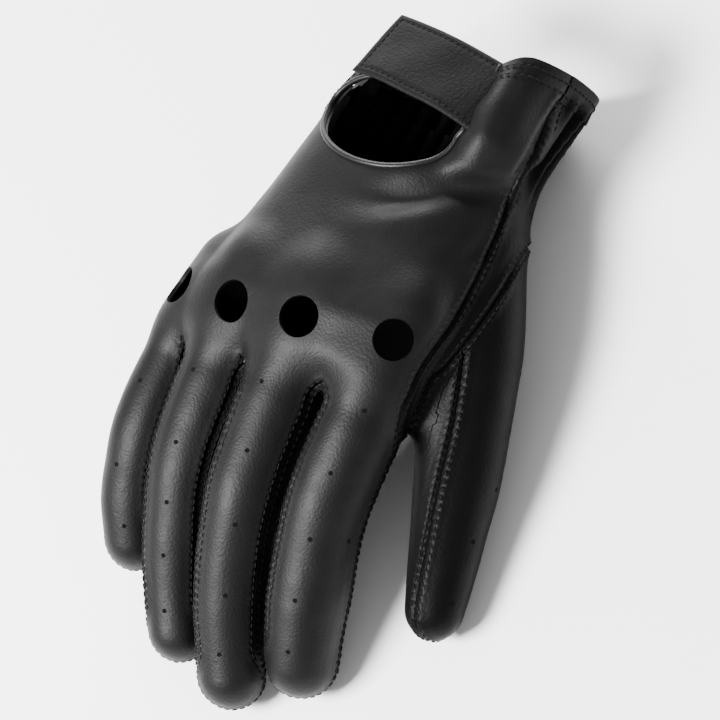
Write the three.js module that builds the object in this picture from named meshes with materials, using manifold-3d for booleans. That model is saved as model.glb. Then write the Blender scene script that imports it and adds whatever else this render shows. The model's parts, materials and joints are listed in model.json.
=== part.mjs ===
// A right-hand leather driving glove, resting on its palm. Millimetres, +Z up.
// The fingers point to -Y, the thumb is on the +X side and the open cuff is at +Y.
import * as THREE from 'three';
import { mergeVertices } from 'three/addons/utils/BufferGeometryUtils.js';
import loadManifold from 'manifold-3d';

const library = await loadManifold();
library.setup();

const { lerp, degToRad } = THREE.MathUtils;

// ---- Driving dimensions ----------------------------------------------------

const leather = 1.1; // thickness of every leather panel
const seamGap = 0.4; // clearance between two pieces that are sewn together
const crotchY = -16; // where the fingers leave the hand
const cuff = { x: 8, y: 81, slant: 11 }; // middle of the open end, and its lean in degrees
const hemDepth = 7.5;
const bindingWidth = 2;
const knuckleHoleRadius = 5.6;
const floorZ = 0;

// A finger runs from inside the hand over its root hinge, middle hinge and end knuckle
// to the centre of its domed tip. The thumb starts with two points inside the hand and
// has no end knuckle. seams are pairs of angles between which a fourchette fits, up is
// the way the back faces, and knuckle is the hole's place between the first two points.
const limbs = {
  index: {
    points: [[32.5, 8, 40], [28, -24.5, 33.8], [26.3, -42.1, 29.8], [26.3, -68.6, 17], [27.2, -84, 8.8]],
    radii: [8.4, 10.7, 10.3, 9.7, 8.7],
    seams: { ulnar: [-55, -125], radial: [88, 92] },
    up: [0.26, 0, 0.97],
    knuckle: 0.2,
  },
  middle: {
    points: [[5.6, 8, 42.5], [3.8, -24.5, 36.2], [2.8, -49.5, 31], [4.4, -77.3, 17], [7.8, -93.6, 9.2]],
    radii: [10.4, 10.7, 10.3, 9.7, 9],
    seams: { ulnar: [-55, -125], radial: [55, 125] },
    up: [0.29, 0, 0.96],
    knuckle: 0.27,
  },
  ring: {
    points: [[-17, 8, 38], [-19.4, -24.5, 31.5], [-19.8, -47, 27], [-17.2, -71.5, 15.2], [-12.8, -87.3, 8.3]],
    radii: [9, 9.9, 9.5, 8.8, 8],
    seams: { ulnar: [-55, -125], radial: [55, 125] },
    up: [0.07, 0, 1],
    knuckle: 0.31,
  },
  little: {
    points: [[-32.5, 8, 29], [-38.2, -24.5, 25.4], [-39.2, -43.6, 22], [-39.2, -58.3, 13.6], [-37, -68.4, 8]],
    radii: [6.2, 8.4, 8.3, 8.1, 7.6],
    seams: { ulnar: [-88, -92], radial: [55, 125] },
    up: [0.03, 0, 1],
    knuckle: 0.3,
  },
  thumb: {
    points: [[30, 44, 23], [43, 8, 20.5], [47.4, -10, 17.6], [51.2, -28.3, 13.6], [56.4, -58.2, 7.6]],
    radii: [12.5, 12.8, 12, 10.7, 7.4],
    seams: { ulnar: [-88, -92], radial: [88, 92] },
    up: [0.95, 0.15, 0.1],
  },
};

// How far each hinge folds towards the palm and back past rest, in degrees.
const rootFold = { flex: 52, extend: 17 };
const middleFold = { flex: 62, extend: 17 };
const thumbRootFold = { flex: 32, extend: 17 };
const thumbMiddleFold = { flex: 42, extend: 17 };
const bendAxis = new THREE.Vector3(1, 0, 0);
const thumbRootAxis = new THREE.Vector3(0.81, 0.236, -0.535).normalize();
const thumbMiddleAxis = new THREE.Vector3(0.07, 0.17, -0.93).normalize();

// Cross-sections of the hand from the cuff to the finger roots. roll lifts the thumb side,
// and seam is where the back panel ends on that side. Both are in degrees.
const handStations = [
  { y: 92, x: 10.5, z: 20.5, halfWidth: 35, top: 15, bottom: 19, roll: 0, seam: 62 },
  { y: 78, x: 9.5, z: 21, halfWidth: 34, top: 17.5, bottom: 20.3, roll: 0, seam: 62 },
  { y: 65, x: 7.7, z: 22, halfWidth: 33.1, top: 20, bottom: 21.8, roll: 1, seam: 62 },
  { y: 52, x: 6, z: 23, halfWidth: 32.9, top: 21.5, bottom: 23.3, roll: 2, seam: 64 },
  { y: 36, x: 5.6, z: 25, halfWidth: 35.2, top: 21, bottom: 25.2, roll: 4, seam: 68 },
  { y: 18, x: 4.7, z: 28.5, halfWidth: 38.2, top: 21, bottom: 26, roll: 6, seam: 75 },
  { y: 2, x: 0.5, z: 32, halfWidth: 40.8, top: 20.5, bottom: 21.5, roll: 8, seam: 86 },
  { y: -9, x: -2.6, z: 33, halfWidth: 41.8, top: 16.5, bottom: 15.5, roll: 8, seam: 88 },
  { y: crotchY, x: -3.7, z: 32.6, halfWidth: 42.2, top: 13, bottom: 12, roll: 8, seam: 88 },
];
const handSquareness = 2.35; // exponent of the cross-section, 2 is an ellipse
const ulnarSeam = -92; // where the back panel meets the palm on the little finger's side
const keyhole = { x: 3.5, y: 57.5, halfWidth: 21.5, halfLength: 15, slitX: 24, slitHalfWidth: 2.5 };
const elasticBand = { fromY: 56, toY: 66, thickness: 1, from: 105, to: 255 };
const strap = {
  root: [26.8, 70.4, 43.8],
  turn: -8.2, // degrees the strap leans out of the X axis
  roll: -19, // degrees its cuff edge dips
  length: 37,
  width: 21.5,
  arcRadius: 90,
  lining: 0.8,
  hook: { thickness: 1, length: 13, width: 10, inset: 3 },
};
const loopPad = { fromY: 69, toY: 76, from: -36, to: -14, thickness: 0.9 };

// ---- Rings: the cross-sections that every panel is lofted through -------------

const degrees = (list) => list.map(degToRad);

// Angles from one seam to another in equal steps of about 14 degrees.
function anglesBetween(from, to) {
  const steps = Math.max(2, Math.ceil(Math.abs(to - from) / 14));
  return degrees(Array.from({ length: steps + 1 }, (_, i) => lerp(from, to, i / steps)));
}

const fullTurn = anglesBetween(0, 360).slice(0, -1);
const sectorSteps = 20;

// Extra length a ring keeps clear of its hinge, so that the two sides can fold together.
function foldClearance({ axis, flex, extend, side }, along, offset) {
  const inward = new THREE.Vector3().crossVectors(axis, along);
  const reach = offset.dot(inward);
  const angle = reach > 0 ? flex : extend;
  return side * (seamGap / 2 + Math.abs(reach) * Math.tan(degToRad(angle / 2)));
}

// A point of a ring: angle 0 is the back, a quarter turn is the thumb side.
// depth goes into the leather, and dome closes the ring towards a rounded tip.
function ringPoint(ring, angle, depth) {
  const curve = (value) => Math.sign(value) * Math.abs(value) ** (2 / ring.squareness);
  const height = Math.cos(angle) > 0 ? ring.top : ring.bottom;
  const offset = new THREE.Vector3()
    .addScaledVector(ring.across, curve(Math.sin(angle)) * (ring.halfWidth - depth))
    .addScaledVector(ring.up, curve(Math.cos(angle)) * (height - depth))
    .multiplyScalar(Math.cos(ring.dome))
    .addScaledVector(ring.along, Math.sin(ring.dome) * (ring.halfWidth - depth));
  if (ring.fold) offset.addScaledVector(ring.along, foldClearance(ring.fold, ring.along, offset));
  return offset.add(ring.centre);
}

// The ring of a limb at place t, counted in its points: 1 is the root hinge of a finger.
function limbRing(limb, t, change = {}) {
  const last = limb.points.length - 1;
  const curve = new THREE.CatmullRomCurve3(limb.points.map((p) => new THREE.Vector3(...p)));
  const along = curve.getTangent(t / last);
  const up = new THREE.Vector3(...limb.up);
  up.addScaledVector(along, -up.dot(along)).normalize();
  const before = Math.min(Math.floor(t), last - 1);
  const radius = lerp(limb.radii[before], limb.radii[before + 1], t - before);
  return {
    centre: curve.getPoint(t / last),
    along,
    up,
    across: new THREE.Vector3().crossVectors(up, along),
    halfWidth: radius,
    top: radius,
    bottom: radius,
    squareness: 2,
    dome: 0,
    ...change,
  };
}

const shiftRing = (ring, distance) => ({
  ...ring,
  centre: ring.centre.clone().addScaledVector(ring.along, distance),
});

function handRing(station) {
  const roll = degToRad(station.roll);
  return {
    centre: new THREE.Vector3(station.x, station.y, station.z),
    along: new THREE.Vector3(0, -1, 0),
    up: new THREE.Vector3(-Math.sin(roll), 0, Math.cos(roll)),
    across: new THREE.Vector3(Math.cos(roll), 0, Math.sin(roll)),
    halfWidth: station.halfWidth,
    top: station.top,
    bottom: station.bottom,
    squareness: handSquareness,
    seam: station.seam,
    dome: 0,
  };
}

// The hand's cross-section at any y, interpolated between the stations.
function handRingAt(y) {
  const after = Math.max(1, handStations.findIndex((station) => station.y <= y));
  const [a, b] = [handStations[after - 1], handStations[after]];
  const share = (y - a.y) / (b.y - a.y);
  return handRing(Object.fromEntries(Object.keys(a).map((key) => [key, lerp(a[key], b[key], share)])));
}

// ---- Solids ----------------------------------------------------------------------

function meshFrom(points, triangles) {
  const geometry = new THREE.BufferGeometry().setFromPoints(points);
  geometry.setIndex(triangles.flat());
  return geometry;
}

const quad = (a, b, c, d) => [[a, b, c], [a, c, d]];

// A curved leather sheet through the rings, between two depths, over a list of angles.
function sheet(rings, angles, outer = 0, inner = leather) {
  const [rows, columns] = [rings.length, angles.length];
  const points = [outer, inner].flatMap((depth) =>
    rings.flatMap((ring) => angles.map((angle) => ringPoint(ring, angle, depth))));
  const out = (i, j) => i * columns + j;
  const back = (i, j) => rows * columns + i * columns + j;
  const faces = [];
  for (let i = 0; i < rows - 1; i += 1) {
    for (let j = 0; j < columns - 1; j += 1) {
      faces.push(...quad(out(i, j), out(i + 1, j), out(i + 1, j + 1), out(i, j + 1)));
      faces.push(...quad(back(i, j), back(i, j + 1), back(i + 1, j + 1), back(i + 1, j)));
    }
    const end = columns - 1;
    faces.push(...quad(out(i, 0), back(i, 0), back(i + 1, 0), out(i + 1, 0)));
    faces.push(...quad(out(i, end), out(i + 1, end), back(i + 1, end), back(i, end)));
  }
  for (let j = 0; j < columns - 1; j += 1) {
    const end = rows - 1;
    faces.push(...quad(out(0, j), out(0, j + 1), back(0, j + 1), back(0, j)));
    faces.push(...quad(out(end, j), back(end, j), back(end, j + 1), out(end, j + 1)));
  }
  return meshFrom(points, faces);
}

// A solid through closed rows of points, each row a convex or star-shaped outline.
function loft(rows) {
  const columns = rows[0].length;
  const faces = [];
  for (let i = 0; i < rows.length - 1; i += 1) {
    for (let j = 0; j < columns; j += 1) {
      const next = (j + 1) % columns;
      const [here, there] = [i * columns, (i + 1) * columns];
      faces.push(...quad(here + j, there + j, there + next, here + next));
    }
  }
  const end = (rows.length - 1) * columns;
  for (let j = 1; j < columns - 1; j += 1) {
    faces.push([0, j, j + 1], [end, end + j + 1, end + j]);
  }
  return toSolid(meshFrom(rows.flat(), faces));
}

const filledTube = (rings, depth) =>
  loft(rings.map((ring) => fullTurn.map((angle) => ringPoint(ring, angle, depth))));

// The slice of a tube between two seams, from its centre line to a little outside it.
// Each seam is the same angle all along, or the angle that a function gives for a ring.
function sector(rings, from, to, margin) {
  const at = (seam, ring) => (typeof seam === 'function' ? seam(ring) : seam);
  const share = Array.from({ length: sectorSteps + 1 }, (_, i) => i / sectorSteps);
  return loft(rings.map((ring) => [
    ring.centre,
    ...share.map((s) => ringPoint(ring, degToRad(lerp(at(from, ring), at(to, ring), s)), -margin)),
  ]));
}

function toSolid(geometry) {
  const bare = geometry.clone();
  bare.deleteAttribute('normal');
  bare.deleteAttribute('uv');
  const merged = mergeVertices(bare, 1e-4);
  return new library.Manifold(new library.Mesh({
    numProp: 3,
    vertProperties: Float32Array.from(merged.attributes.position.array),
    triVerts: Uint32Array.from(merged.index.array),
  }));
}

// The largest single body of a solid, as a geometry. Loose trimmings are dropped.
function toGeometry(solid) {
  const [largest] = solid.decompose().sort((a, b) => b.volume() - a.volume());
  const mesh = largest.getMesh();
  const geometry = new THREE.BufferGeometry();
  geometry.setAttribute('position', new THREE.BufferAttribute(Float32Array.from(mesh.vertProperties), 3));
  geometry.setIndex(Array.from(mesh.triVerts));
  return geometry;
}

const join = (...solids) => solids.reduce((sum, solid) => sum.add(solid));

function block(minX, maxX, minY, maxY, minZ, maxZ) {
  const box = new THREE.BoxGeometry(maxX - minX, maxY - minY, maxZ - minZ);
  box.translate((minX + maxX) / 2, (minY + maxY) / 2, (minZ + maxZ) / 2);
  return toSolid(box);
}

// ---- The hand: back and palm panels, cuff and what is sewn to them --------------------

const fingerNames = ['index', 'middle', 'ring', 'little'];
const farOut = 200;
const handMargin = 4; // cutting reaches this far out of the hand, over the knuckles
const stubMargin = 0.2; // and this far out of a finger, short of its neighbour

const rootFoldOf = (side) => ({ ...rootFold, axis: bendAxis, side });
const thumbRootFoldOf = (side) => ({ ...thumbRootFold, axis: thumbRootAxis, side });

// The hand with four finger stubs, as a filled solid at some depth under the surface.
// The hollow one runs on past both ends, so that taking it away leaves open ends.
function handSolid(depth, hollow) {
  const stations = handStations.map((station) => ({ ...station }));
  if (hollow) {
    stations[0].y += leather;
    stations.at(-1).y += leather;
  }
  const stubs = fingerNames.map((name) => {
    const start = [limbRing(limbs[name], 0.2), limbRing(limbs[name], 0.6)];
    const hinge = limbRing(limbs[name], 1);
    const end = hollow ? shiftRing(hinge, leather) : { ...hinge, fold: rootFoldOf(-1) };
    return filledTube([...start, end], depth);
  });
  return join(filledTube(stations.map(handRing), depth), ...stubs);
}

// The thumb's root, which bulges out of the side of the hand, as a filled solid.
function thumbRootSolid(depth, end) {
  const start = [0, 0.5, 1, 1.5].map((t) => limbRing(limbs.thumb, t));
  return filledTube([...start, end], depth);
}

const thumbHinge = limbRing(limbs.thumb, 2);
const handShell = handSolid(0, false).subtract(handSolid(leather, true));
const thumbOpening = thumbRootSolid(-seamGap, shiftRing(thumbHinge, leather));

// Everything beyond the slanted end of the cuff, or some distance short of it.
function beyondCuff(distance) {
  const box = new THREE.BoxGeometry(2 * farOut, 2 * farOut, 2 * farOut).translate(0, farOut - distance, 0);
  return toSolid(box.rotateZ(degToRad(cuff.slant)).translate(cuff.x, cuff.y, 0));
}

const cuffShell = handShell.subtract(beyondCuff(0));
const openHand = handShell.subtract(thumbOpening).subtract(beyondCuff(hemDepth));

// Everything of the hand in front of, or behind, the line where the fingers leave it.
const palmSide = block(-farOut, farOut, crotchY - 0.2, farOut, -farOut, farOut);
const fingerSide = (gap) => block(-farOut, farOut, -farOut, crotchY - 0.2 - gap, -farOut, farOut);

const stubRings = (limb) => [0.4, 0.8, 1.3].map((t) => limbRing(limb, t));

// The part of the hand's shell between two seams, with the finger stubs' share of it.
function handCut(from, to, stubSeams) {
  const rings = handStations.map(handRing);
  rings.push(shiftRing(rings.at(-1), leather));
  const hand = sector(rings, from, to, handMargin).intersect(palmSide);
  const stubs = fingerNames.map((name) =>
    sector(stubRings(limbs[name]), ...stubSeams(limbs[name].seams), stubMargin).intersect(fingerSide(0)));
  return join(hand, ...stubs);
}

const seamAngle = 0.6; // degrees of the gap beside a seam of the hand
const stubAngle = 2; // degrees of the gap beside a seam of a finger

const backCut = handCut(ulnarSeam + seamAngle, (ring) => ring.seam - seamAngle,
  ({ ulnar, radial }) => [ulnar[0] + stubAngle, radial[0] - stubAngle]);
const palmCut = handCut((ring) => ring.seam + seamAngle, ulnarSeam + 360 - seamAngle,
  ({ ulnar, radial }) => [radial[1] + stubAngle, ulnar[1] + 360 - stubAngle]);

// A vertical cutter of the keyhole opening and the slit that runs from it to the cuff's edge.
function keyholeCutter(grow) {
  const oval = new THREE.Shape();
  oval.absellipse(keyhole.x, keyhole.y, keyhole.halfWidth + grow, keyhole.halfLength + grow, 0, Math.PI * 2);
  const options = { depth: farOut, bevelEnabled: false, curveSegments: 20 };
  const opening = toSolid(new THREE.ExtrudeGeometry(oval, options).translate(0, 0, handStations[0].z));
  const half = keyhole.slitHalfWidth + grow;
  const slit = block(keyhole.slitX - half, keyhole.slitX + half, keyhole.y, farOut, handStations[0].z, farOut);
  return opening.add(slit);
}

// A round hole through the back panel over each knuckle, square to the leather.
function knuckleHole(name) {
  const place = limbRing(limbs[name], limbs[name].knuckle);
  const cutter = new THREE.CylinderGeometry(knuckleHoleRadius, knuckleHoleRadius, 3 * knuckleHoleRadius, 28);
  const outward = new THREE.Quaternion().setFromUnitVectors(new THREE.Vector3(0, 1, 0), place.up);
  cutter.translate(0, place.top + knuckleHoleRadius, 0).applyQuaternion(outward);
  return toSolid(cutter.translate(...place.centre));
}

const backPanel = openHand.intersect(backCut)
  .subtract(keyholeCutter(bindingWidth + seamGap))
  .subtract(join(...fingerNames.map(knuckleHole)));

// The palm panel is worn flat where it rests on a table.
const palmPanel = openHand.intersect(palmCut).subtract(block(-farOut, farOut, -farOut, farOut, -farOut, floorZ));

const keyholeBinding = cuffShell
  .intersect(sector(handStations.map(handRing), ulnarSeam, (ring) => ring.seam, handMargin))
  .intersect(keyholeCutter(bindingWidth).subtract(keyholeCutter(0)));

const hemBand = cuffShell
  .intersect(beyondCuff(hemDepth - seamGap))
  .subtract(keyholeCutter(bindingWidth + seamGap));

const thumbRoot = thumbRootSolid(0, { ...thumbHinge, fold: thumbRootFoldOf(-1) })
  .subtract(thumbRootSolid(leather, shiftRing(thumbHinge, leather)))
  .subtract(handSolid(-seamGap, false));

// The bottom of the two fourchettes of one gap, joined by the web between the fingers.
function crotchWeb(radialName, ulnarName) {
  const [radialLimb, ulnarLimb] = [limbs[radialName], limbs[ulnarName]];
  const walls = [
    sector(stubRings(radialLimb), radialLimb.seams.ulnar[1], radialLimb.seams.ulnar[0], stubMargin),
    sector(stubRings(ulnarLimb), ulnarLimb.seams.radial[0], ulnarLimb.seams.radial[1], stubMargin),
  ];
  const [a, b] = [limbRing(ulnarLimb, 0.9).centre, limbRing(radialLimb, 0.9).centre];
  const front = crotchY - 0.2 - seamGap;
  const height = 0.55 * ulnarLimb.radii[1];
  const web = block(a.x, b.x, front - leather, front, (a.z + b.z) / 2 - height, (a.z + b.z) / 2 + height);
  const hollow = join(...[radialLimb, ulnarLimb].map((limb) =>
    filledTube([limbRing(limb, 0.2), shiftRing(limbRing(limb, 1), leather)], leather)));
  const sides = handShell.intersect(join(...walls)).intersect(fingerSide(seamGap));
  const plate = web.subtract(hollow).subtract(backCut).subtract(palmCut);
  return sides.add(plate);
}

// ---- Panels of the fingers and the thumb ---------------------------------------------

// Half the angle that keeps two sewn panels seamGap apart on a ring of this radius.
const seamTrim = (limb) => THREE.MathUtils.radToDeg(seamGap / 2 / limb.radii[1]) * 1.6;

function limbPanel(limb, rings, from, to) {
  const trim = seamTrim(limb);
  return sheet(rings, anglesBetween(from + trim, to - trim));
}

// Rings from the root hinge to the middle hinge, and from there over the domed tip.
function limbRings(limb, rootPlace, rootFoldAt, middleFoldAt) {
  const middle = rootPlace + 1;
  const last = limb.points.length - 1;
  const tipPlaces = last - middle > 1 ? [middle + 0.4, middle + 0.7, middle + 1, last - 0.4, last] : [
    middle + 0.3, middle + 0.6, last];
  const base = [
    limbRing(limb, rootPlace, { fold: rootFoldAt(1) }),
    limbRing(limb, rootPlace + 0.5),
    limbRing(limb, middle, { fold: middleFoldAt(-1) }),
  ];
  const tip = [
    limbRing(limb, middle, { fold: middleFoldAt(1) }),
    ...tipPlaces.map((t) => limbRing(limb, t)),
    ...degrees([30, 55, 78]).map((dome) => limbRing(limb, last, { dome })),
  ];
  return { base, tip };
}

// The panels round one stretch of a limb: back, palm and a fourchette where a finger
// has a neighbour. The outer sides of the hand have none: back and palm meet there.
function limbPanels(name, limb, stretch, rings) {
  const { ulnar, radial } = limb.seams;
  const panels = {
    [`${name}_${stretch}_back`]: limbPanel(limb, rings, ulnar[0], radial[0]),
    [`${name}_${stretch}_palm`]: limbPanel(limb, rings, radial[1], ulnar[1] + 360),
  };
  const isStrip = ([top, bottom]) => Math.abs(bottom - top) > 10;
  if (isStrip(ulnar)) {
    panels[`${name}_${stretch}_fourchette_ulnar`] = limbPanel(limb, rings, ulnar[1], ulnar[0]);
  }
  if (isStrip(radial)) {
    panels[`${name}_${stretch}_fourchette_radial`] = limbPanel(limb, rings, radial[0], radial[1]);
  }
  return panels;
}

// ---- The closing strap -----------------------------------------------------------------

// A curved layer of the strap. x runs back from the root at 0, and depth is measured
// down from the strap's upper face.
function strapLayer({ from, to, top, bottom, width }) {
  const { arcRadius } = strap;
  const middle = -strap.length / 2;
  const rise = arcRadius * Math.cos(Math.asin(middle / arcRadius));
  const angleAt = (x) => Math.asin((x - middle) / arcRadius);
  const profile = new THREE.Shape();
  profile.absarc(middle, -rise, arcRadius - top, Math.PI / 2 - angleAt(from), Math.PI / 2 - angleAt(to), false);
  profile.absarc(middle, -rise, arcRadius - bottom, Math.PI / 2 - angleAt(to), Math.PI / 2 - angleAt(from), true);
  const layer = new THREE.ExtrudeGeometry(profile, { depth: width, bevelEnabled: false, curveSegments: 10 });
  return mergeVertices(layer.rotateX(Math.PI / 2).translate(0, width / 2, 0), 1e-4);
}

function strapParts() {
  const { lining, hook, length, width } = strap;
  const edge = 1; // the lining is cut back from the strap's edge
  const under = leather + seamGap;
  return {
    strap_outer: strapLayer({ from: 0, to: -length, top: 0, bottom: leather, width }),
    strap_lining: strapLayer({
      from: -edge, to: edge - length, top: under, bottom: under + lining, width: width - 2 * edge }),
    hook_pad: strapLayer({
      from: hook.length + hook.inset - length,
      to: hook.inset - length,
      top: under + lining + seamGap,
      bottom: under + lining + seamGap + hook.thickness,
      width: hook.width,
    }),
  };
}

// ---- Materials ---------------------------------------------------------------------------

const surface = (color, roughness) => new THREE.MeshStandardMaterial({ color, roughness, metalness: 0 });

function surfaceFor(name) {
  if (name.includes('fourchette') || name.includes('web')) return surface(0x1d1d1f, 0.6);
  if (name.includes('palm') || name.startsWith('thumb')) return surface(0x1f1d1d, 0.5);
  if (name.includes('pad')) return surface(0x121214, 0.95);
  if (name === 'elastic_band') return surface(0x161618, 0.9);
  if (name.startsWith('strap')) return surface(0x2b2b2d, 0.6);
  return surface(0x27272a, 0.45);
}

// ---- Assembly ------------------------------------------------------------------------------

// A group whose origin is a hinge. Geometry made in the glove's frame is moved into it.
function hingeGroup(parent, pivot, parentPivot) {
  const group = new THREE.Group();
  group.position.subVectors(pivot, parentPivot);
  parent.add(group);
  return group;
}

function addParts(group, pivot, parts) {
  for (const [name, geometry] of Object.entries(parts)) {
    geometry.translate(-pivot.x, -pivot.y, -pivot.z);
    geometry.computeVertexNormals();
    const mesh = new THREE.Mesh(geometry, surfaceFor(name));
    mesh.name = name;
    group.add(mesh);
  }
}

function addLimb(hand, name, rootPlace, rootFoldAt, middleFoldAt) {
  const limb = limbs[name];
  const root = new THREE.Vector3(...limb.points[rootPlace]);
  const middle = new THREE.Vector3(...limb.points[rootPlace + 1]);
  const rings = limbRings(limb, rootPlace, rootFoldAt, middleFoldAt);
  const base = hingeGroup(hand, root, new THREE.Vector3());
  addParts(base, root, limbPanels(name, limb, 'base', rings.base));
  const tip = hingeGroup(base, middle, root);
  addParts(tip, middle, limbPanels(name, limb, 'tip', rings.tip));
}

const glove = new THREE.Group();
const origin = new THREE.Vector3();
const bandRings = [elasticBand.toY, elasticBand.fromY].map(handRingAt);
const padRings = [loopPad.toY, loopPad.fromY].map(handRingAt);

addParts(glove, origin, {
  back_panel: toGeometry(backPanel),
  palm_panel: toGeometry(palmPanel),
  web_index_middle: toGeometry(crotchWeb('index', 'middle')),
  web_middle_ring: toGeometry(crotchWeb('middle', 'ring')),
  web_ring_little: toGeometry(crotchWeb('ring', 'little')),
  thumb_root: toGeometry(thumbRoot),
  keyhole_binding: toGeometry(keyholeBinding),
  cuff_hem: toGeometry(hemBand),
  elastic_band: sheet(bandRings, anglesBetween(elasticBand.from, elasticBand.to),
    leather + seamGap, leather + seamGap + elasticBand.thickness),
  loop_pad: sheet(padRings, anglesBetween(loopPad.from, loopPad.to),
    -seamGap - loopPad.thickness, -seamGap),
});

for (const name of fingerNames) {
  addLimb(glove, name, 1, rootFoldOf, (side) => ({ ...middleFold, axis: bendAxis, side }));
}
addLimb(glove, 'thumb', 2, thumbRootFoldOf, (side) => ({ ...thumbMiddleFold, axis: thumbMiddleAxis, side }));

const strapGroup = hingeGroup(glove, new THREE.Vector3(...strap.root), origin);
strapGroup.rotation.set(degToRad(strap.roll), 0, degToRad(strap.turn), 'ZXY');
addParts(strapGroup, origin, strapParts());

// The glove's origin is the middle of its footprint, on the table.
const box = new THREE.Box3().setFromObject(glove, true);
glove.position.set(-(box.min.x + box.max.x) / 2, -(box.min.y + box.max.y) / 2, -box.min.z);
glove.updateMatrixWorld(true);

export default glove;
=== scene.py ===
import json
import math
import bmesh
import bpy
import numpy as np
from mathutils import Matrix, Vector, noise
from mathutils.bvhtree import BVHTree
from mathutils.kdtree import KDTree


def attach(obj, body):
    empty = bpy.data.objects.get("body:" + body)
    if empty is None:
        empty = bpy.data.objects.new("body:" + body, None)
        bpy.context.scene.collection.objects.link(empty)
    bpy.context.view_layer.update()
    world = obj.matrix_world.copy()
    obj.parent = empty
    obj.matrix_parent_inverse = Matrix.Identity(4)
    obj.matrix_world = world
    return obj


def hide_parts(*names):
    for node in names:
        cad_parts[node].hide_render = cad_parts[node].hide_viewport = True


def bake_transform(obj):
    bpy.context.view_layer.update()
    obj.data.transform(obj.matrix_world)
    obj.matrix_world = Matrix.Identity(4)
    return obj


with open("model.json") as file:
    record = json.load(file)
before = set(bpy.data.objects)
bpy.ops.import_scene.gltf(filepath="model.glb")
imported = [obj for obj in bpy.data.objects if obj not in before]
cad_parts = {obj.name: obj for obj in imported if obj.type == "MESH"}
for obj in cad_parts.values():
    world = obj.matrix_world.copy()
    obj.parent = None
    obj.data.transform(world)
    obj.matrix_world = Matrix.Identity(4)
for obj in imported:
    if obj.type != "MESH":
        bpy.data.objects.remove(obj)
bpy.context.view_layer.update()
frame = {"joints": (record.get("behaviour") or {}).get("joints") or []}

# A right-hand leather driving glove. The shape is worked out in millimetres, in a space whose
# origin lies under the finger roots, and every piece is moved into the frame when it is made.

mm = 0.001
joints = {joint["name"]: Vector(joint["pos_m"]) for joint in frame["joints"]}

fingerNames = ["index", "middle", "ring", "little"]

# Lines through the stalls: each starts inside the hand and ends in the middle of the domed tip.
stalls = {
    "index": {
        "line": [(32.3, 8, 39), (28, -24.5, 33.8), (26, -42.1, 29.8), (25.5, -68.6, 17.6),
                 (26.9, -83.6, 9.8)],
        "radius": [9.2, 11.3, 11, 11, 9.7],
        "up": (0.26, 0, 0.97), "fourchettes": {"ulnar": 36, "radial": 0},
        "knuckle": (35.2, -0.6, 48.5), "knuckleFacing": (0.42, -0.18, 0.89),
        "vents": [(26, 12), (45, 5), (61, 4), (78, -3), (92, -8), (60, 62)],
    },
    "middle": {
        "line": [(5.6, 8, 41.2), (3.8, -24.5, 36.2), (2.8, -49.5, 31), (4.8, -77.3, 17.6), (9, -93.4, 9.6)],
        "radius": [10.4, 11.2, 10.6, 9.8, 8.9],
        "up": (0.29, 0, 0.96), "fourchettes": {"ulnar": 36, "radial": 36},
        "knuckle": (8.5, -3.6, 53), "knuckleFacing": (0.3, -0.1, 0.95),
        "vents": [(29, -20), (47, -3), (65, 8), (84, 3), (101, -10)],
    },
    "ring": {
        "line": [(-17, 8, 37.2), (-19.4, -24.5, 31.6), (-19.8, -47, 27.2), (-16.4, -71.5, 15.8),
                 (-11.6, -87.3, 8.9)],
        "radius": [9.4, 10.3, 10, 9.5, 8.4],
        "up": (0.07, 0, 1), "fourchettes": {"ulnar": 36, "radial": 36},
        "knuckle": (-15.4, -4.6, 48), "knuckleFacing": (-0.25, 0.02, 0.96),
        "vents": [(31, -14), (50, 1), (65, 3), (79, 0), (95, -4)],
    },
    "little": {
        "line": [(-32.5, 8, 29), (-38.2, -24.5, 25.6), (-39, -43.6, 22.2), (-38.5, -58.3, 14.6),
                 (-36.2, -68.2, 9.4)],
        "radius": [7.8, 8.9, 9.3, 9.3, 8.8],
        "up": (0.03, 0, 1), "fourchettes": {"ulnar": 0, "radial": 36},
        "knuckle": (-36.8, -3.4, 36), "knuckleFacing": (-0.66, 0.08, 0.74),
        "vents": [(38, -12), (59, -8), (76, 8)],
    },
    "thumb": {
        "line": [(29, 46, 22), (43, 8, 20.7), (47.4, -10, 17.8), (51.2, -28.3, 13.8), (56.4, -58.2, 8)],
        "radius": [11, 13.4, 12.4, 11, 7.8],
        "up": (0.95, 0.15, 0.1), "fourchettes": {"ulnar": 0, "radial": 0},
        "twist": [23, 23, 20, 8, -8],
        "vents": [(45, 12), (60, 2), (76, 0), (90, -15), (107, -20)],
    },
}

# Cross-sections of the hand: across is half the width, over and under are the heights
# above and below the middle, roll lifts the thumb side and seam is where the back panel ends.
handShape = {
    "y":      [100, 90, 78, 65, 52, 36, 18, 2, -9, -16],
    "x":      [11.5, 10.5, 9.5, 8, 6.2, 5.4, 4.4, 0.5, -2.6, -3.7],
    "z":      [19.5, 20.5, 21.2, 22, 23, 25, 28.5, 32, 33.2, 32.8],
    "across": [35, 34.5, 34, 32.6, 32.2, 35.2, 38.6, 40.8, 41.4, 41.8],
    "over":   [14, 15.5, 17.6, 20, 21.4, 21, 20.6, 19.6, 15.6, 12.6],
    "under":  [19, 19.6, 20.6, 21.8, 23.2, 25.2, 26, 21.5, 15.5, 12],
    "roll":   [0, 0, 0, 1, 2, 4, 6, 8, 8, 8],
    "seam":   [76, 76, 76, 77, 79, 82, 84, 87, 88, 88],
    "squareness": 2.3,
    "crotchY": -16,
}

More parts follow.
